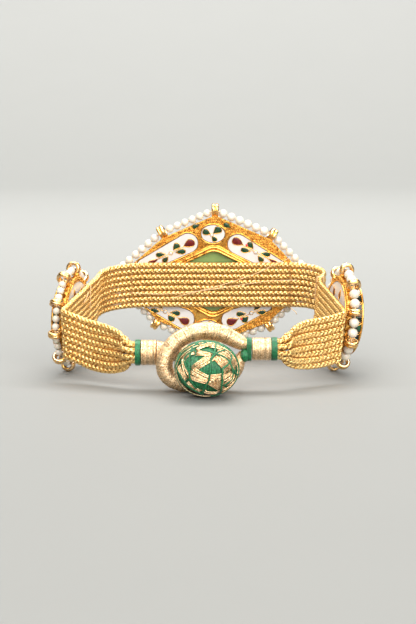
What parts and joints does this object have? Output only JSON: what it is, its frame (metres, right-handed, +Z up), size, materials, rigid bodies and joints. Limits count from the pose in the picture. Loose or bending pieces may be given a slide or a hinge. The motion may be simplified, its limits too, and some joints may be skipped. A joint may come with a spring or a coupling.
{
  "type": "kundan bracelet",
  "caption": "Bracelet of plaited gilt cords that carries a lozenge medallion and two round ones edged with pearls, closed by a wound loop and ball button.",
  "frame": {"origin": "on the surface it stands on, under the middle of its box", "axes": "+Z up, along the wrist; +Y towards the lozenge medallion; -Y towards the clasp; +X towards the right medallion"},
  "size_m": [0.0729, 0.0674, 0.0386],
  "materials": {
    "gold_cord": "plaited gilt thread",
    "gold_thread": "wound gilt thread",
    "green_thread": "wound green and gilt thread",
    "gold": "polished high-carat gold",
    "white_enamel": "glossy, with painted sprigs",
    "green_enamel": "glossy translucent",
    "centre_stone": "milky, polished",
    "clear_stone": "cut and foiled",
    "pearl": "satin lustre",
    "pearl_thread": "plain"
  },
  "bodies": {
    "root": {"cord_1": "gold_cord", "cord_2": "gold_cord", "cord_3": "gold_cord", "cord_4": "gold_cord", "cord_5": "gold_cord", "cord_6": "gold_cord", "cord_7": "gold_cord", "cord_8": "gold_cord", "main_frame": "gold", "main_stone": "centre_stone", "main_plaque_1": "white_enamel", "main_plaque_2": "white_enamel", "main_plaque_3": "white_enamel", "main_plaque_4": "white_enamel", "main_top_disc": "white_enamel", "main_bottom_disc": "white_enamel", "main_front_stones": "clear_stone", "main_pearls": "pearl", "main_pearl_thread": "pearl_thread", "left_frame": "gold", "left_back_enamel": "white_enamel", "left_green_band": "green_enamel", "left_front_stones": "clear_stone", "left_pearls": "pearl", "left_pearl_thread": "pearl_thread", "right_frame": "gold", "right_back_enamel": "white_enamel", "right_green_band": "green_enamel", "right_front_stones": "clear_stone", "right_pearls": "pearl", "right_pearl_thread": "pearl_thread", "left_sleeve": "gold_thread", "left_sleeve_band": "green_thread", "ball_stem": "gold_thread", "ball_button": "green_thread", "right_sleeve": "gold_thread", "right_sleeve_band": "green_thread", "loop_binding": "green_thread", "clasp_loop": "gold_thread"}
  },
  "joints": []
}
